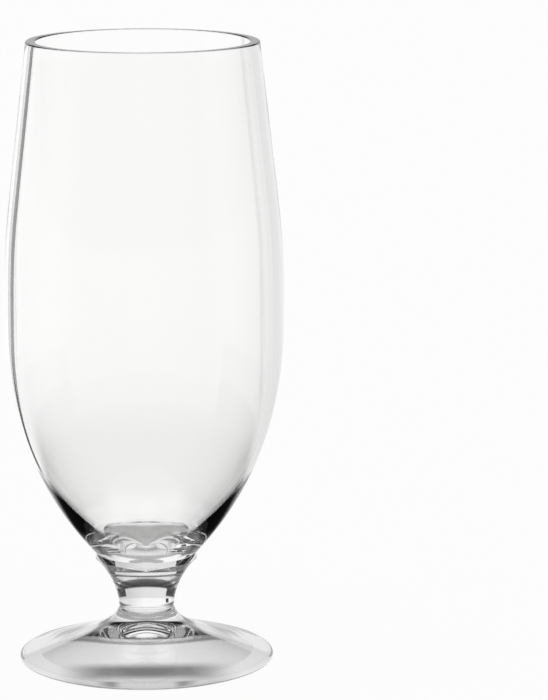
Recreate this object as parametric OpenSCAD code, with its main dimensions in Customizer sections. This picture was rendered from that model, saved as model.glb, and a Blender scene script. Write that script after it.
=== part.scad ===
// Footed pilsner glass: a blown bowl on a short solid stem, a beaded collar and a spread foot.
// The four gathers of glass are fused at their seats, and each keeps its own solid here.
// Millimetres, +Z up, origin on the table at the centre of the foot.

/* [Bowl] */
// Height of the bowl, from its seat on the stem to the rim
bowl_h = 157.6; // [130:0.1:190]
// Outer diameter at the rim
rim_d = 70.6; // [60:0.1:84]
// Outer diameter at the belly, the widest place of the bowl
belly_d = 84.8; // [78:0.1:102]
// Height of the belly above the seat
belly_h = 72.1; // [64:0.1:86]
// Thickness of the wall from the belly to the rim
wall_t = 3.2; // [1.6:0.1:4]
// Thickness of the wall at the flat-cut lip
lip_t = 3; // [1.4:0.1:3.8]
// Radius that fire polishing gives the lip's two edges
lip_round = 0.5; // [0.2:0.1:0.7]
// Inward lean of the wall at the rim, in degrees
rim_lean = 6.4; // [4:0.1:12]
// Length below the rim over which the wall keeps that lean
rim_run = 62; // [40:0.5:70]
// Length above the belly over which the wall stands upright
belly_rise = 30.5; // [12:0.5:34]
// Length below the belly over which the wall stands upright
belly_drop = 46.4; // [42:0.1:54]
// Slope of the outside where it meets the seat, in degrees from level
shoulder_slope = 55.6; // [46:0.1:60]
// Length above the seat over which the outside keeps that slope
shoulder_run = 4; // [2:0.1:14]

/* [Bowl floor] */
// Height of the inside floor's edge above the seat
floor_t = 3.7; // [2.5:0.1:7]
// Diameter of the inside floor
floor_d = 28; // [20:0.1:29]
// Slope of the inside where it runs into the floor, in degrees from level
heel_slope = 43; // [36:0.5:56]
// Length above the floor over which the inside keeps that slope
heel_run = 23; // [10:0.5:26]
// Length below the belly over which the inside stands upright
inner_drop = 38.5; // [26:0.5:44]
// Depth of the dish in the inside floor
dish_h = 3.6; // [1.5:0.1:5]
// Slope of the dish at its edge, in degrees from level
dish_edge = 16; // [5:1:30]
// Slope of the dish where the pit begins, in degrees from level
dish_inner = 28; // [10:1:35]
// Diameter of the pit at the centre of the floor, left by the blowing iron
pit_d = 4; // [3:0.1:8]
// Depth of that pit
pit_h = 1.2; // [0.6:0.1:2]
// Slope of the pit at its edge, in degrees from level
pit_edge = 24; // [10:1:45]
// Slope of the pit at its tip, in degrees from level
pit_tip = 35; // [10:1:45]

/* [Seat] */
// Diameter of the ridge where the bowl sits on the stem
seat_d = 31.1; // [28:0.1:38]
// Depth of the conical seat, from the ridge to its blunt point
seat_h = 4; // [2:0.1:5.5]
// Diameter of the blunt point of the seat
point_d = 4; // [2:0.1:7]

/* [Stem] */
// Height of the stem, from the collar to the ridge
stem_h = 17.7; // [15:0.1:24]
// Diameter of the stem at its waist
waist_d = 16.8; // [14:0.1:18.6]
// Height of the stem's upright edge, just under the ridge
ridge_h = 1.7; // [0.6:0.1:3]
// Slope of the flare under the upright edge, in degrees from level
flare_slope = 44; // [30:0.5:70]
// Length below the upright edge over which the flare keeps that slope
flare_run = 3; // [1:0.1:5]
// Length above the collar over which the waist stands upright
waist_run = 7.6; // [4:0.1:10]

/* [Collar] */
// Height of the collar, between the stem and the foot
collar_h = 2; // [1.6:0.1:4]
// Diameter of the collar where it meets the foot
collar_d = 19; // [18.8:0.1:24]
// Number of beads round the collar
beads = 2; // [1:1:4]
// How far each bead stands out of the collar
bead_proud = 0.16; // [0.1:0.01:0.4]

/* [Foot] */
// Height of the foot, from the table to the collar
foot_h = 13.7; // [12:0.1:18]
// Diameter of the foot
foot_d = 78.2; // [64:0.1:95]
// Height of the widest place of the foot above the table
edge_z = 0.9; // [0.6:0.1:1.6]
// Thickness of the foot's rounded edge
edge_t = 2; // [1.7:0.1:3.4]
// How far the edge's rounding reaches inwards from the widest place
edge_round = 1.6; // [1:0.1:2.5]
// Slope of the foot's top at the edge, in degrees from level
brim_slope = 20; // [12:0.5:24]
// Length over which the top keeps that slope
brim_run = 18; // [8:0.5:20]
// Slope of the foot's top under the collar, in degrees from level
neck_slope = 44; // [30:0.5:50]
// Length over which the top keeps that slope
neck_run = 8; // [3:0.1:9]

/* [Underside] */
// Width of the flat ring that the glass rests on
rest_w = 5.5; // [1:0.1:8]
// Height of the hollow under the foot
hollow_h = 9; // [5:0.1:10]
// Slope of the hollow just inside the rest ring, in degrees from level
hollow_slope = 22; // [10:0.5:24]
// Length over which the hollow keeps that slope
hollow_run = 10; // [6:0.5:14]
// Radius over which the hollow's crown stays nearly level
crown_run = 6; // [3:0.5:9]

/* [Hidden] */

// Straight facets along each curve of a profile
curve_steps = 20;
// Straight facets along each quarter round
round_steps = 8;
// Facets round the glass
$fn = 180;
// Length of a curve's handles as a share of its chord, on the inside floor
handle_share = 0.4;

collar_z = foot_h;
stem_z = collar_z + collar_h;
seat_z = stem_z + stem_h;
ridge_z = seat_z - ridge_h;
belly_z = seat_z + belly_h;
rim_z = seat_z + bowl_h;
floor_z = seat_z + floor_t;
dish_z = floor_z - dish_h;
tip_z = dish_z - pit_h;
point_z = seat_z - seat_h;

rim_r = rim_d / 2;
belly_r = belly_d / 2;
seat_r = seat_d / 2;
floor_r = floor_d / 2;
pit_r = pit_d / 2;
point_r = point_d / 2;
waist_r = waist_d / 2;
collar_r = collar_d / 2;
foot_r = foot_d / 2;

// Where the wall ends and the lip's rounding begins
lip_z = rim_z - lip_round;
rest_outer_r = foot_r - edge_round;
rest_inner_r = rest_outer_r - rest_w;

// Clear, faintly grey glass
glass_tint = [0.86, 0.9, 0.9, 0.45];

// A step of given length along a slope, as [radius, height]
function along(run, slope) = [run * cos(slope), run * sin(slope)];

// One point of a cubic Bezier curve
function bezier(a, b, c, d, t) =
    pow(1 - t, 3) * a + 3 * pow(1 - t, 2) * t * b + 3 * (1 - t) * t * t * c + pow(t, 3) * d;

// The curve from a to d, pulled by the handles b and c, without its first point
function curve(a, b, c, d) =
    [for (i = [1 : curve_steps]) bezier(a, b, c, d, i / curve_steps)];

// The curve down from a to d that leaves a and reaches d at given slopes, without its first point
function dip(a, slope_a, d, slope_d) =
    let (run = handle_share * norm(d - a))
    curve(a, a - along(run, slope_a), d + along(run, slope_d), d);

// A quarter ellipse about a centre, from one angle to another, without its first point
function quarter(centre, rx, rz, from, to) =
    [for (i = [1 : round_steps])
        let (a = from + (to - from) * i / round_steps)
        centre + [rx * cos(a), rz * sin(a)]];

// The glass outside, from the ridge of the seat up to the lip
function bowl_outside() = concat(
    [[seat_r, seat_z]],
    curve([seat_r, seat_z],
          [seat_r, seat_z] + along(shoulder_run, shoulder_slope),
          [belly_r, belly_z - belly_drop],
          [belly_r, belly_z]),
    curve([belly_r, belly_z],
          [belly_r, belly_z + belly_rise],
          [rim_r, lip_z] + along(rim_run, rim_lean - 90),
          [rim_r, lip_z]));

// The flat-cut lip with its two polished edges, from outside to inside
function lip() = concat(
    quarter([rim_r - lip_round, lip_z], lip_round, lip_round, 0, 90),
    [[rim_r - lip_t + lip_round, rim_z]],
    quarter([rim_r - lip_t + lip_round, lip_z], lip_round, lip_round, 90, 180));

// The inside, from the lip down to the edge of the floor
function bowl_inside() = concat(
    curve([rim_r - lip_t, lip_z],
          [rim_r - wall_t, lip_z] + along(rim_run, rim_lean - 90),
          [belly_r - wall_t, belly_z + belly_rise],
          [belly_r - wall_t, belly_z]),
    curve([belly_r - wall_t, belly_z],
          [belly_r - wall_t, belly_z - inner_drop],
          [floor_r, floor_z] + along(heel_run, heel_slope),
          [floor_r, floor_z]));

// The dished floor and its pit, from the edge of the floor to the axis
function bowl_floor() = concat(
    dip([floor_r, floor_z], dish_edge, [pit_r, dish_z], dish_inner),
    dip([pit_r, dish_z], pit_edge, [0, tip_z], pit_tip));

// The conical seat, from the axis out to the ridge
function seat() = [[0, point_z], [point_r, point_z], [seat_r, seat_z]];

// The blown bowl: a wall on a thick floor, closed below by the conical seat
module bowl()
    color(glass_tint)
        rotate_extrude()
            polygon(concat(seat(), bowl_outside(), lip(), bowl_inside(), bowl_floor()));

// The solid stem: a drawn waist that flares to an upright edge and cups the seat
module stem()
    color(glass_tint)
        rotate_extrude()
            polygon(concat(
                [[0, stem_z], [waist_r, stem_z]],
                curve([waist_r, stem_z],
                      [waist_r, stem_z + waist_run],
                      [seat_r, ridge_z] - along(flare_run, flare_slope),
                      [seat_r, ridge_z]),
                [[seat_r, seat_z], [point_r, point_z], [0, point_z]]));

// The radius of the collar's cone at a share of its height
function collar_cone(share) = collar_r + (waist_r - collar_r) * share;

// The collar: a short cone with a row of fine beads, pinched onto the foot
module collar()
    color(glass_tint)
        rotate_extrude()
            polygon(concat(
                [[0, collar_z]],
                [for (i = [0 : beads * curve_steps])
                    let (share = i / (beads * curve_steps))
                    [collar_cone(share) + bead_proud * abs(sin(180 * beads * share)),
                     collar_z + collar_h * share]],
                [[0, stem_z]]));

// The foot: a spread disc with a rounded edge, hollow beneath, resting on a flat ring
module foot()
    color(glass_tint)
        rotate_extrude()
            polygon(concat(
                [[0, hollow_h], [0, collar_z], [collar_r, collar_z]],
                curve([collar_r, collar_z],
                      [collar_r, collar_z] + along(neck_run, -neck_slope),
                      [rest_outer_r, edge_t] + along(brim_run, 180 - brim_slope),
                      [rest_outer_r, edge_t]),
                quarter([rest_outer_r, edge_z], edge_round, edge_t - edge_z, 90, 0),
                quarter([rest_outer_r, edge_z], edge_round, edge_z, 0, -90),
                [[rest_inner_r, 0]],
                curve([rest_inner_r, 0],
                      [rest_inner_r, 0] + along(hollow_run, 180 - hollow_slope),
                      [crown_run, hollow_h],
                      [0, hollow_h])));

bowl();
stem();
collar();
foot();
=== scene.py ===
import math

import bpy
from bpy.props import FloatProperty, FloatVectorProperty, IntProperty, PointerProperty
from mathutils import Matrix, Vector


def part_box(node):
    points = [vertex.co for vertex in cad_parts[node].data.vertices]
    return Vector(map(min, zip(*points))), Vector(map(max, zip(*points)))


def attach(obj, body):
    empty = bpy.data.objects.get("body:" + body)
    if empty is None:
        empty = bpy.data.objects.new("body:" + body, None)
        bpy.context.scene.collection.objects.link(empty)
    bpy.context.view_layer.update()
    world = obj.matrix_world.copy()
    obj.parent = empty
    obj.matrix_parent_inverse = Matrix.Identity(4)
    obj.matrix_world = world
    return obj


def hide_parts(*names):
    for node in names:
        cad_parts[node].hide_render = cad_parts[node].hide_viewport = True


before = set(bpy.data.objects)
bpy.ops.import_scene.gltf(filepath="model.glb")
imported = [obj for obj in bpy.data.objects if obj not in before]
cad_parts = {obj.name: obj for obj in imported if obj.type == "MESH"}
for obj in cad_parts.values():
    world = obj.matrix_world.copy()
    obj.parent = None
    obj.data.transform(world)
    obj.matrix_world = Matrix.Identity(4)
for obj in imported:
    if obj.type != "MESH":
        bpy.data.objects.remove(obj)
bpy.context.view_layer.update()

bl_info = {
    "name": "Pilsner Glass",
    "version": (1, 0, 0),
    "blender": (4, 5, 0),
    "location": "View3D > Sidebar > Pilsner Glass",
    "description": "Models a footed pilsner glass of four fused gathers of clear glass",
    "category": "Add Mesh",
}

MM = 0.001
FACETS = 256
CURVE_STEPS = 40
ARC_STEPS = 24
WELD = 0.0005 * MM
CREASE = math.radians(14)

# Length of a curve's handles as a share of its chord, on the inside floor
HANDLE_SHARE = 0.4
# How the ripples of the glass are stretched upwards
RIPPLE_SCALE = (1.0, 1.0, 0.6)

CLIP_START = 10 * MM
BOUNCES = 32
GLOSSY_BOUNCES = 12

# The studio and the floor change softly. Two numbers are the middle of a change and half its width. Three are
# where something begins, where it ends, and half the width of both changes.

# The studio in degrees: azimuth 0 lies straight behind the glass, positive to its right, and elevation 0 is level
SHADED_SIDE = (14, 14)
FRONT = (110, 15)
FLAGS = ((-105, -30, 1), (32, 105, 1))
FLAGS_BOTTOM = (3.4, 0.8)
BACKDROP_TOP = (15.5, 2)
OVERHEAD = (50, 4)
ZENITH = (75, 5)

# The painted dark strip of the floor, as dark as the flags, on the left behind the glass: its azimuth in degrees,
# and where it starts in metres
PAINTED_STRIP = (-39, -31, 0.4)
PAINTED_STRIP_START = (0.15, 0.03)

# The glass's shadow painted on the floor beside it and under its foot, in metres from the middle of the glass
DIM_SIDES = (0.038, 0.012)
DIM_FRONT = (-0.055, 0.01)
DIM_BACK = (0.09, 0.03)
DIM_REACH = (0.2, 0.06)
CONTACT = (0.046, 0.004)
CONTACT_BACK = (0.019, 0.004)
CONTACT_FRONT = (-0.0315, -0.0175, 0.005)
CONTACT_WIDTH = (0.02, 0.009)
RING_FRONT = (-0.0335, 0.0015)
PAINTED_RING_STREAKS = (0.009, 0.019, 0.002)

# How far each patch of painted shade under the foot goes towards the darker brightness there
BACK_SHARE = 0.75
RING_SHARE = 0.3
PAINTED_STREAK_SHARE = 0.6

# Heights and radii that the construction already fixes
POINT_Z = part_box("bowl")[0].z
RIM_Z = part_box("bowl")[1].z
STEM_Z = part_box("stem")[0].z
SEAT_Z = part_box("stem")[1].z
SEAT_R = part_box("stem")[1].x
COLLAR_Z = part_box("collar")[0].z
FOOT_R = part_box("foot")[1].x


def length(name, about, size):
    """A size in metres, given in millimetres."""
    return FloatProperty(name=name, description=about, default=size * MM, min=0, unit="LENGTH", precision=5)


def slope(name, about, angle):
    """An angle, given in degrees."""
    return FloatProperty(name=name, description=about, default=math.radians(angle), subtype="ANGLE")


def share(name, about, value):
    """A plain number from 0 to 1."""
    return FloatProperty(name=name, description=about, default=value, min=0, max=1)


class BowlSizes(bpy.types.PropertyGroup):
    """The blown bowl, outside and inside"""

    rim_d: length("Rim", "Outer diameter at the rim", 70.6)
    belly_d: length("Belly", "Outer diameter at the widest place", 84.8)
    belly_h: length("Belly height", "Height of the widest place above the seat", 72.1)
    wall_t: length("Wall", "Thickness of the wall from the belly to the rim", 3.2)
    lip_t: length("Lip", "Thickness of the wall at the flat-cut lip", 3)
    lip_round: length("Lip round", "Radius of the lip's two polished edges", 0.5)
    rim_lean: slope("Rim lean", "Inward lean of the wall at the rim", 6.4)
    rim_run: length("Rim run", "Length below the rim that keeps the lean", 62)
    belly_rise: length("Belly rise", "Length above the belly that stands upright", 30.5)
    belly_drop: length("Belly drop", "Length below the belly that stands upright", 46.4)
    inner_drop: length("Inner drop", "The same length on the inside of the wall", 38.5)
    shoulder_slope: slope("Shoulder", "Slope of the outside where it meets the seat", 55.6)
    shoulder_run: length("Shoulder run", "Length above the seat that keeps that slope", 4)
    floor_t: length("Floor", "Height of the floor's edge above the seat", 3.7)
    floor_d: length("Floor width", "Diameter of the inside floor", 28)
    heel_slope: slope("Heel", "Slope of the inside where it runs into the floor", 43)
    heel_run: length("Heel run", "Length above the floor that keeps that slope", 23)
    dish_h: length("Dish", "Depth of the dish in the floor", 3.6)
    dish_edge: slope("Dish edge", "Slope of the dish at its edge", 16)
    dish_inner: slope("Dish inner", "Slope of the dish where the pit begins", 28)
    pit_d: length("Pit", "Diameter of the pit left by the blowing iron", 4)
    pit_h: length("Pit depth", "Depth of that pit", 1.2)
    pit_edge: slope("Pit edge", "Slope of the pit at its edge", 24)
    pit_tip: slope("Pit tip", "Slope of the pit at its tip", 35)
    point_d: length("Point", "Diameter of the blunt point of the seat", 4)


class StemSizes(bpy.types.PropertyGroup):
    """The drawn stem"""

    waist_d: length("Waist", "Diameter of the stem at its waist", 16.8)
    ridge_h: length("Ridge", "Height of the upright edge under the seat's ridge", 1.7)
    flare_slope: slope("Flare", "Slope of the flare under the upright edge", 44)
    flare_run: length("Flare run", "Length below the upright edge that keeps that slope", 3)
    waist_run: length("Waist run", "Length above the collar that stands upright", 7.6)


class CollarSizes(bpy.types.PropertyGroup):
    """The beaded collar"""

    collar_d: length("Collar", "Diameter where the collar meets the foot", 19)
    beads: IntProperty(name="Beads", description="Number of beads round the collar", default=2, min=1)
    bead_proud: length("Bead", "How far each bead stands out", 0.16)


class FootSizes(bpy.types.PropertyGroup):
    """The foot and its hollow underside"""

    edge_z: length("Edge height", "Height of the widest place above the table", 0.9)
    edge_t: length("Edge", "Thickness of the rounded edge", 2)
    edge_round: length("Edge round", "How far the edge's rounding reaches inwards", 1.6)
    brim_slope: slope("Brim", "Slope of the top at the edge", 20)
    brim_run: length("Brim run", "Length of the top that keeps that slope", 18)
    neck_slope: slope("Neck", "Slope of the top under the collar", 44)
    neck_run: length("Neck run", "Length of the top that keeps that slope", 8)
    rest_w: length("Rest ring", "Width of the flat ring the glass stands on", 5.5)
    hollow_h: length("Hollow", "Height of the hollow under the foot", 9)
    hollow_slope: slope("Hollow slope", "Slope of the hollow inside the rest ring", 22)
    hollow_run: length("Hollow run", "Length of the hollow that keeps that slope", 10)
    crown_run: length("Crown", "Radius of the nearly level crown", 6)


class GlassLook(bpy.types.PropertyGroup):
    """The finish of the glass"""

    tint: FloatVectorProperty(name="Tint", description="Colour of the glass", subtype="COLOR",
                              default=(0.997, 0.997, 0.994), min=0, max=1)
    ior: FloatProperty(name="IOR", description="How strongly the glass bends light", default=1.5, min=1)
    ripple: length("Ripple", "Height of the faint ripples of blown glass", 0.02)
    ripple_width: length("Ripple width", "Width of those ripples", 14)


class StudioLook(bpy.types.PropertyGroup):
    """The floor, the light and the camera"""

    floor_colour: FloatVectorProperty(name="Floor", description="Colour of the floor", subtype="COLOR",
                                      default=(0.9, 0.9, 0.9), min=0, max=1)
    floor_size: FloatProperty(name="Floor size", description="Width of the floor", default=20, unit="LENGTH")
    shade: share("Shade", "How dark a full shadow shows on the floor", 0.08)
    glow: FloatProperty(name="Glow", description="Brightness that brings the shaded paper back to white",
                        default=1.04, min=0)
    # Painted light of the floor as the glass shows it, darker in front
    floor_front: share("Floor in front", "Brightness of the floor before the glass", 0.7)
    # Painted shade of the floor under the foot, and of the darker patches there
    painted_foot_shade: share("Contact", "Brightness of the floor under the foot", 0.84)
    painted_patch_shade: share("Contact shade", "Brightness of the darker patches under the foot", 0.22)
    flag: share("Flag", "Brightness of the black flags beside the glass", 0.02)
    shaded_side: share("Shaded side", "Brightness of the backdrop's far right", 0.78)
    front: share("Front", "Brightness of the room behind the camera", 0.7)
    gap: share("Gap", "Brightness above the backdrop", 0.02)
    overhead: share("Overhead", "Brightness of the light overhead", 0.9)
    top: share("Top", "Brightness straight overhead", 0.6)
    camera_distance: FloatProperty(name="Distance", description="From the glass to the camera, level",
                                   default=1.0937, unit="LENGTH")
    camera_height: FloatProperty(name="Height", description="Of the camera above the table",
                                 default=0.3089, unit="LENGTH")
    camera_tilt: slope("Tilt", "How far the camera looks down", 11)
    camera_turn: slope("Turn", "How far the camera looks past the glass", 2.063)
    lens: FloatProperty(name="Lens", description="Focal length", default=187.9, subtype="DISTANCE_CAMERA")


class Pilsner(bpy.types.PropertyGroup):
    """All the sizes and colours of the glass and its stage"""

    bowl: PointerProperty(type=BowlSizes)
    stem: PointerProperty(type=StemSizes)
    collar: PointerProperty(type=CollarSizes)
    foot: PointerProperty(type=FootSizes)
    glass: PointerProperty(type=GlassLook)
    studio: PointerProperty(type=StudioLook)


# Profiles are lists of points (radius, height)

def point(radius, height):
    return Vector((radius, height))


def along(run, angle):
    """A step of a given length along a slope."""
    return Vector((run * math.cos(angle), run * math.sin(angle)))


def curve(start, handle_a, handle_b, end, steps=CURVE_STEPS):
    """A cubic Bezier curve, without its first point."""
    points = []
    for i in range(1, steps + 1):
        t = i / steps
        points.append((1 - t) ** 3 * start + 3 * (1 - t) ** 2 * t * handle_a
                      + 3 * (1 - t) * t * t * handle_b + t ** 3 * end)
    return points


def arc(centre, width, height, first, last):
    """Part of an ellipse between two angles in degrees, without its first point."""
    angles = [math.radians(first + (last - first) * i / ARC_STEPS) for i in range(1, ARC_STEPS + 1)]
    return [centre + Vector((width * math.cos(a), height * math.sin(a))) for a in angles]


def bowl_outside(s):
    """From the ridge of the seat up to the lip."""
    ridge = point(SEAT_R, SEAT_Z)
    belly = point(s.belly_d / 2, SEAT_Z + s.belly_h)
    lip = point(s.rim_d / 2, RIM_Z - s.lip_round)
    lower = curve(ridge, ridge + along(s.shoulder_run, s.shoulder_slope),
                  belly - point(0, s.belly_drop), belly)
    upper = curve(belly, belly + point(0, s.belly_rise),
                  lip + along(s.rim_run, s.rim_lean - math.pi / 2), lip)
    return [ridge, *lower, *upper]


def bowl_lip(s):
    """The flat-cut lip with its two polished edges, from outside to inside."""
    radius = s.lip_round
    outer = point(s.rim_d / 2 - radius, RIM_Z - radius)
    inner = point(s.rim_d / 2 - s.lip_t + radius, RIM_Z - radius)
    return [*arc(outer, radius, radius, 0, 90), inner + point(0, radius), *arc(inner, radius, radius, 90, 180)]


def bowl_inside(s):
    """From the lip down the wall to the edge of the floor."""
    lip = point(s.rim_d / 2 - s.lip_t, RIM_Z - s.lip_round)
    belly = point(s.belly_d / 2 - s.wall_t, SEAT_Z + s.belly_h)
    edge = point(s.floor_d / 2, SEAT_Z + s.floor_t)
    upper = curve(lip, point(s.rim_d / 2 - s.wall_t, lip.y) + along(s.rim_run, s.rim_lean - math.pi / 2),
                  belly + point(0, s.belly_rise), belly)
    lower = curve(belly, belly - point(0, s.inner_drop),
                  edge + along(s.heel_run, s.heel_slope), edge)
    return [*upper, *lower]


def bowl_floor(s):
    """The dished floor and its pit, from the edge of the floor to the axis."""
    edge = point(s.floor_d / 2, SEAT_Z + s.floor_t)
    pit = point(s.pit_d / 2, edge.y - s.dish_h)
    tip = point(0, pit.y - s.pit_h)
    dish_run = HANDLE_SHARE * (edge - pit).length
    pit_run = HANDLE_SHARE * (pit - tip).length
    dish = curve(edge, edge - along(dish_run, s.dish_edge), pit + along(dish_run, s.dish_inner), pit)
    return [*dish, *curve(pit, pit - along(pit_run, s.pit_edge), tip + along(pit_run, s.pit_tip), tip)]


def seat(s):
    """The conical seat, from the axis out to its ridge."""
    return [point(0, POINT_Z), point(s.point_d / 2, POINT_Z), point(SEAT_R, SEAT_Z)]


def stem_outside(s):
    """From the collar up the waist, the flare and the upright edge to the ridge."""
    foot = point(s.waist_d / 2, STEM_Z)
    edge = point(SEAT_R, SEAT_Z - s.ridge_h)
    flare = curve(foot, foot + point(0, s.waist_run), edge - along(s.flare_run, s.flare_slope), edge)
    return [foot, *flare, point(SEAT_R, SEAT_Z)]


def collar_outside(s, waist_r):
    """The row of beads, from the foot up to the stem."""
    base_r = s.collar_d / 2
    rise = STEM_Z - COLLAR_Z
    points = []
    for i in range(s.beads * ARC_STEPS + 1):
        along_share = i / (s.beads * ARC_STEPS)
        bead = s.bead_proud * abs(math.sin(math.pi * s.beads * along_share))
        points.append(point(base_r + (waist_r - base_r) * along_share + bead, COLLAR_Z + rise * along_share))
    return points


def foot_top(s, collar_r):
    """From the collar down the foot and round its edge to the table."""
    neck = point(collar_r, COLLAR_Z)
    brim = point(FOOT_R - s.edge_round, s.edge_t)
    centre = point(brim.x, s.edge_z)
    return [neck,
            *curve(neck, neck + along(s.neck_run, -s.neck_slope),
                   brim + along(s.brim_run, math.pi - s.brim_slope), brim),
            *arc(centre, s.edge_round, s.edge_t - s.edge_z, 90, 0),
            *arc(centre, s.edge_round, s.edge_z, 0, -90)]


def foot_hollow(s):
    """The underside, from the rest ring in to the axis."""
    ring = point(FOOT_R - s.edge_round - s.rest_w, 0)
    crown = point(0, s.hollow_h)
    return [ring, *curve(ring, ring + along(s.hollow_run, math.pi - s.hollow_slope),
                         crown + point(s.crown_run, 0), crown)]


# Shaders

class Value:
    """A number in a shader. Python's operators on it add Math nodes."""

    def __init__(self, shader, socket):
        self.shader = shader
        self.socket = socket

    def math(self, operation, *others):
        return self.shader.node("ShaderNodeMath", {"operation": operation}, self, *others).value()

    def __add__(self, other):
        return self.math("ADD", other)

    def __radd__(self, other):
        return self.math("ADD", other)

    def __rsub__(self, other):
        return self.shader.node("ShaderNodeMath", {"operation": "SUBTRACT"}, other, self).value()

    def __mul__(self, other):
        return self.math("MULTIPLY", other)

    def __rmul__(self, other):
        return self.math("MULTIPLY", other)

    def step(self, edge, softness):
        """0 below the edge and 1 above it, with a soft change."""
        settings = {"interpolation_type": "SMOOTHSTEP"}
        return self.shader.node("ShaderNodeMapRange", settings, self,
                                edge - softness, edge + softness, 0.0, 1.0).value()

    def between(self, low, high, softness):
        """1 from low to high and 0 outside, with soft changes."""
        return self.step(low, softness) * (1 - self.step(high, softness))


class Node:
    """A node that was just added, and its outputs."""

    def __init__(self, shader, node):
        self.shader = shader
        self.node = node

    def value(self, name=0):
        return Value(self.shader, self.node.outputs[name])


class Shader:
    """The node tree of a material or a world."""

    def __init__(self, owner):
        owner.use_nodes = True
        self.tree = owner.node_tree
        self.tree.nodes.clear()

    def node(self, kind, settings=None, *inputs, **named):
        """Adds a node: its settings first, then the values or links of its sockets."""
        node = self.tree.nodes.new(kind)
        for name, value in (settings or {}).items():
            setattr(node, name, value)
        for socket, value in [*enumerate(inputs), *named.items()]:
            if isinstance(socket, str):
                socket = socket.replace("_", " ")
            if isinstance(value, Value):
                self.tree.links.new(value.socket, node.inputs[socket])
            elif value is not None:
                node.inputs[socket].default_value = value
        return Node(self, node)


def clear_glass(look):
    """Clear blown glass, with ripples so faint that they show only by what they bend."""
    material = bpy.data.materials.new("clear_glass")
    shader = Shader(material)
    place = shader.node("ShaderNodeTexCoord").value("Object")
    stretched = shader.node("ShaderNodeMapping", None, place, Scale=RIPPLE_SCALE).value()
    ripples = shader.node("ShaderNodeTexNoise", None, Vector=stretched,
                          Scale=1 / look.ripple_width, Detail=1.0, Roughness=0.4).value("Fac")
    bump = shader.node("ShaderNodeBump", None, Strength=1.0, Distance=look.ripple, Height=ripples).value()
    glass = shader.node("ShaderNodeBsdfPrincipled", None, Base_Color=(*look.tint, 1.0), Roughness=0.0,
                        IOR=look.ior, Transmission_Weight=1.0, Normal=bump).value()
    shader.node("ShaderNodeOutputMaterial", None, glass)
    return material


def fused_seat():
    """The places where two gathers are fused, which don't show in the finished glass."""
    material = bpy.data.materials.new("fused_seat")
    shader = Shader(material)
    seam = shader.node("ShaderNodeBsdfPrincipled", None, Alpha=0.0).value()
    shader.node("ShaderNodeOutputMaterial", None, seam)
    return material


def shared_material(name, make):
    """A material that several pieces share, made once."""
    return bpy.data.materials.get(name) or make()


# Modelling

def deselect_all():
    bpy.ops.object.select_all(action="DESELECT")


def lathe(name, profile):
    """Draws a profile from one vertex by extruding it step by step, and spins it about the axis."""
    deselect_all()
    bpy.ops.mesh.primitive_plane_add(size=FOOT_R)
    piece = bpy.context.object
    piece.name = piece.data.name = name
    bpy.ops.object.mode_set(mode="EDIT")
    bpy.ops.mesh.select_all(action="SELECT")
    bpy.ops.mesh.merge(type="CENTER")
    bpy.ops.transform.translate(value=(profile[0].x, 0, profile[0].y))
    for last, here in zip(profile, profile[1:]):
        step = here - last
        bpy.ops.mesh.extrude_region_move(TRANSFORM_OT_translate={"value": (step.x, 0, step.y)})
    bpy.ops.mesh.select_all(action="SELECT")
    bpy.ops.mesh.spin(steps=FACETS, angle=2 * math.pi, center=(0, 0, 0), axis=(0, 0, 1))
    bpy.ops.mesh.select_all(action="SELECT")
    bpy.ops.mesh.remove_doubles(threshold=WELD)
    bpy.ops.mesh.select_all(action="SELECT")
    bpy.ops.mesh.normals_make_consistent(inside=False)
    bpy.ops.object.mode_set(mode="OBJECT")
    bpy.ops.object.transform_apply(location=True, rotation=True, scale=True)
    bpy.ops.object.shade_smooth_by_angle(angle=CREASE)
    return piece


def finish_glass(piece, node, look, fused):
    """Gives a piece its glass, its neutral fused faces, and its place on the part."""
    piece.data.materials.append(shared_material("clear_glass", lambda: clear_glass(look)))
    piece.data.materials.append(shared_material("fused_seat", fused_seat))
    for face in piece.data.polygons:
        radius = math.hypot(face.center.x, face.center.y)
        face.material_index = int(fused(radius, face.center.z))
    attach(piece, "root")
    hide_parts(node)


def on_level(height):
    """A test for faces that lie flat at one height."""
    return lambda radius, z: abs(z - height) < WELD


def on_seat(s):
    """A test for faces of the conical seat and its blunt point."""
    steepness = (SEAT_Z - POINT_Z) / (SEAT_R - s.point_d / 2)

    def test(radius, z):
        cone_z = POINT_Z + steepness * max(0, radius - s.point_d / 2)
        near = 0.02 * MM
        return radius < SEAT_R and abs(z - cone_z) < near

    return test


class MakeBowl(bpy.types.Operator):
    """Blow the bowl: a thin wall on a thick floor, closed below by its conical seat"""

    bl_idname = "pilsner.bowl"
    bl_label = "Bowl"

    def execute(self, context):
        s = context.scene.pilsner.bowl
        profile = [*seat(s)[:-1], *bowl_outside(s), *bowl_lip(s), *bowl_inside(s), *bowl_floor(s)]
        finish_glass(lathe("glass_bowl", profile), "bowl", context.scene.pilsner.glass, on_seat(s))
        return {"FINISHED"}


class MakeStem(bpy.types.Operator):
    """Draw the solid stem: a waist that flares to the ridge and cups the seat"""

    bl_idname = "pilsner.stem"
    bl_label = "Stem"

    def execute(self, context):
        s = context.scene.pilsner
        cup = list(reversed(seat(s.bowl)))[1:]
        profile = [point(0, STEM_Z), *stem_outside(s.stem), *cup]
        cupped = on_seat(s.bowl)
        level = on_level(STEM_Z)
        finish_glass(lathe("glass_stem", profile), "stem", s.glass,
                     lambda radius, z: cupped(radius, z) or level(radius, z))
        return {"FINISHED"}


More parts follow.
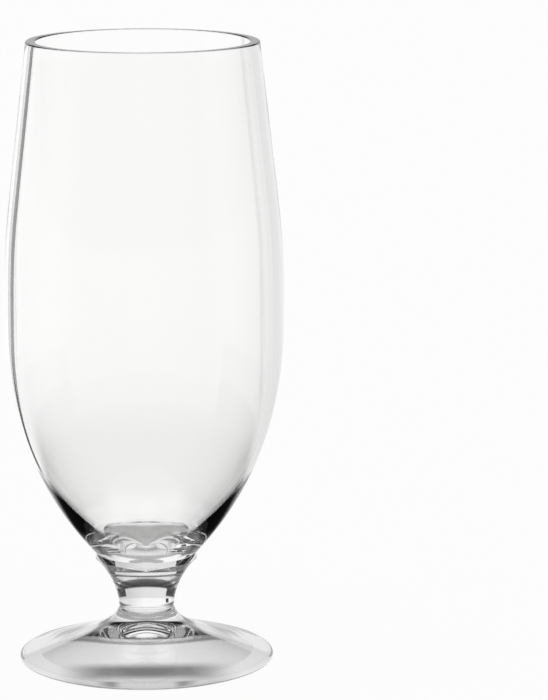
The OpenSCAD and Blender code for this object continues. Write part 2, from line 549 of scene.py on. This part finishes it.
class MakeCollar(bpy.types.Operator):
    """Pinch the collar: a short cone with a row of fine beads"""

    bl_idname = "pilsner.collar"
    bl_label = "Collar"

    def execute(self, context):
        s = context.scene.pilsner
        profile = [point(0, COLLAR_Z), *collar_outside(s.collar, s.stem.waist_d / 2), point(0, STEM_Z)]
        top, bottom = on_level(STEM_Z), on_level(COLLAR_Z)
        finish_glass(lathe("glass_collar", profile), "collar", s.glass,
                     lambda radius, z: top(radius, z) or bottom(radius, z))
        return {"FINISHED"}


class MakeFoot(bpy.types.Operator):
    """Spread the foot: a disc with a rounded edge, hollow beneath, on a flat rest ring"""

    bl_idname = "pilsner.foot"
    bl_label = "Foot"

    def execute(self, context):
        s = context.scene.pilsner
        profile = [point(0, COLLAR_Z), *foot_top(s.foot, s.collar.collar_d / 2), *foot_hollow(s.foot)]
        finish_glass(lathe("glass_foot", profile), "foot", s.glass, on_level(COLLAR_Z))
        return {"FINISHED"}


def blend(one, other, factor):
    """From one brightness to the other, as the factor goes from 0 to 1."""
    return one * (1 - factor) + other * factor


def all_round(azimuth, front, look):
    """The brightness of the studio low down, by azimuth in degrees."""
    light = blend(1, look.shaded_side, azimuth.step(*SHADED_SIDE))
    return blend(light, front, azimuth.math("ABSOLUTE").step(*FRONT))


def in_degrees(angle):
    """An angle of a shader, turned from radians into degrees."""
    return angle * math.degrees(1)


def azimuth_of(x, y):
    """The azimuth in degrees, 0 straight behind the glass and positive to its right."""
    return in_degrees(x.math("ARCTAN2", y))


def studio_world(look):
    """Soft studio light: a pale backdrop between black flags, a dark gap above it, and a broad light overhead."""
    world = bpy.data.worlds.new("studio")
    bpy.context.scene.world = world
    shader = Shader(world)
    direction = shader.node("ShaderNodeTexCoord").value("Generated")
    parts = shader.node("ShaderNodeSeparateXYZ", None, direction)
    azimuth = azimuth_of(parts.value(0), parts.value(1))
    elevation = in_degrees(parts.value(2).math("ARCSINE"))
    light = all_round(azimuth, look.front, look)
    for flag in FLAGS:
        light = blend(light, look.flag, azimuth.between(*flag) * elevation.step(*FLAGS_BOTTOM))
    for level, brightness in ((BACKDROP_TOP, look.gap), (OVERHEAD, look.overhead), (ZENITH, look.top)):
        light = blend(light, brightness, elevation.step(*level))
    seen = shader.node("ShaderNodeLightPath").value("Is Camera Ray")
    strength = blend(light, 1, seen)
    sky = shader.node("ShaderNodeBackground", None, Strength=strength).value()
    shader.node("ShaderNodeOutputWorld", None, sky)


def painted_floor_light(x, y, look):
    """The painted light and shade of the floor as the glass shows it: darker in front and to the right, a painted
    dark strip, and the glass's painted shadow.
    """
    distance = (x * x + y * y).math("SQRT")
    azimuth = azimuth_of(x, y)
    # Painted light of the floor by azimuth, like the studio's low down but darker in front
    light = all_round(azimuth, look.floor_front, look)
    # A painted dark strip, as dark as the flags
    light = blend(light, look.flag, azimuth.between(*PAINTED_STRIP) * distance.step(*PAINTED_STRIP_START))
    # The glass's painted shadow, as dark as the flags, to its sides and before it, with a lit lane straight
    # behind it
    aside = x.math("ABSOLUTE")
    lit = (1 - aside.step(*DIM_SIDES)) * y.step(*DIM_FRONT)
    dim = (1 - lit) * (1 - y.step(*DIM_BACK)) * (1 - distance.step(*DIM_REACH))
    light = blend(light, look.flag, dim)
    # Painted shade under the foot: a patch at the back, the front of the rest ring with darker streaks, and a
    # patch in front
    back = BACK_SHARE * y.step(*CONTACT_BACK)
    ring = (1 - y.step(*RING_FRONT)) * (RING_SHARE + PAINTED_STREAK_SHARE * aside.between(*PAINTED_RING_STREAKS))
    front = y.between(*CONTACT_FRONT) * (1 - aside.step(*CONTACT_WIDTH))
    painted_foot_shade = blend(look.painted_foot_shade, look.painted_patch_shade, back + ring + front)
    return blend(painted_foot_shade, light, distance.step(*CONTACT))


def floor_material(look):
    """Plain white paper with a faint shadow, which shows the glass its painted light and shade instead."""
    material = bpy.data.materials.new("floor")
    shader = Shader(material)
    place = shader.node("ShaderNodeTexCoord").value("Object")
    parts = shader.node("ShaderNodeSeparateXYZ", None, place)
    path = shader.node("ShaderNodeLightPath")
    camera = path.value("Is Camera Ray")
    strength = blend(painted_floor_light(parts.value(0), parts.value(1), look), look.glow, camera)
    paper = shader.node("ShaderNodeBsdfDiffuse", None, (*look.floor_colour, 1.0)).value()
    glow = shader.node("ShaderNodeEmission", None, Strength=strength).value()
    in_glass = path.value("Is Glossy Ray").math("MAXIMUM", path.value("Is Transmission Ray"))
    glowing = blend(in_glass, 1 - look.shade, camera)
    mix = shader.node("ShaderNodeMixShader", None, glowing, paper, glow).value()
    shader.node("ShaderNodeOutputMaterial", None, mix)
    return material


class MakeStage(bpy.types.Operator):
    """Lay the pale floor, light the studio and set up the camera"""

    bl_idname = "pilsner.stage"
    bl_label = "Stage"

    def execute(self, context):
        look = context.scene.pilsner.studio
        deselect_all()
        bpy.ops.mesh.primitive_plane_add(size=look.floor_size)
        floor = context.object
        floor.name = "floor"
        floor.data.materials.append(floor_material(look))
        studio_world(look)
        bpy.ops.object.camera_add(location=(0, -look.camera_distance, look.camera_height),
                                  rotation=(math.pi / 2 - look.camera_tilt, 0, -look.camera_turn))
        camera = context.object
        camera.data.lens = look.lens
        camera.data.clip_start = CLIP_START
        context.scene.camera = camera
        context.scene.view_settings.view_transform = "Standard"
        cycles = context.scene.cycles
        cycles.max_bounces = cycles.transmission_bounces = cycles.transparent_max_bounces = BOUNCES
        cycles.glossy_bounces = GLOSSY_BOUNCES
        return {"FINISHED"}


class PilsnerPanel(bpy.types.Panel):
    """The sizes, the colours and the steps of the glass"""

    bl_idname = "VIEW3D_PT_pilsner"
    bl_label = "Pilsner Glass"
    bl_space_type = "VIEW_3D"
    bl_region_type = "UI"
    bl_category = "Pilsner Glass"

    def draw(self, context):
        pilsner = context.scene.pilsner
        for operator, sizes in ((MakeBowl, pilsner.bowl), (MakeStem, pilsner.stem),
                                (MakeCollar, pilsner.collar), (MakeFoot, pilsner.foot),
                                (None, pilsner.glass), (MakeStage, pilsner.studio)):
            box = self.layout.box()
            if operator:
                box.operator(operator.bl_idname)
            for name in sizes.__annotations__:
                box.prop(sizes, name)


GROUPS = (BowlSizes, StemSizes, CollarSizes, FootSizes, GlassLook, StudioLook, Pilsner)
OPERATORS = (MakeStage, MakeBowl, MakeStem, MakeCollar, MakeFoot)
CLASSES = (*GROUPS, *OPERATORS, PilsnerPanel)


def register():
    for item in CLASSES:
        bpy.utils.register_class(item)
    bpy.types.Scene.pilsner = PointerProperty(type=Pilsner)


def unregister():
    del bpy.types.Scene.pilsner
    for item in reversed(CLASSES):
        bpy.utils.unregister_class(item)


def build():
    """Runs the operators in order."""
    bpy.ops.pilsner.stage()
    bpy.ops.pilsner.bowl()
    bpy.ops.pilsner.stem()
    bpy.ops.pilsner.collar()
    bpy.ops.pilsner.foot()


def main():
    register()
    build()


if __name__ == "__main__":
    main()
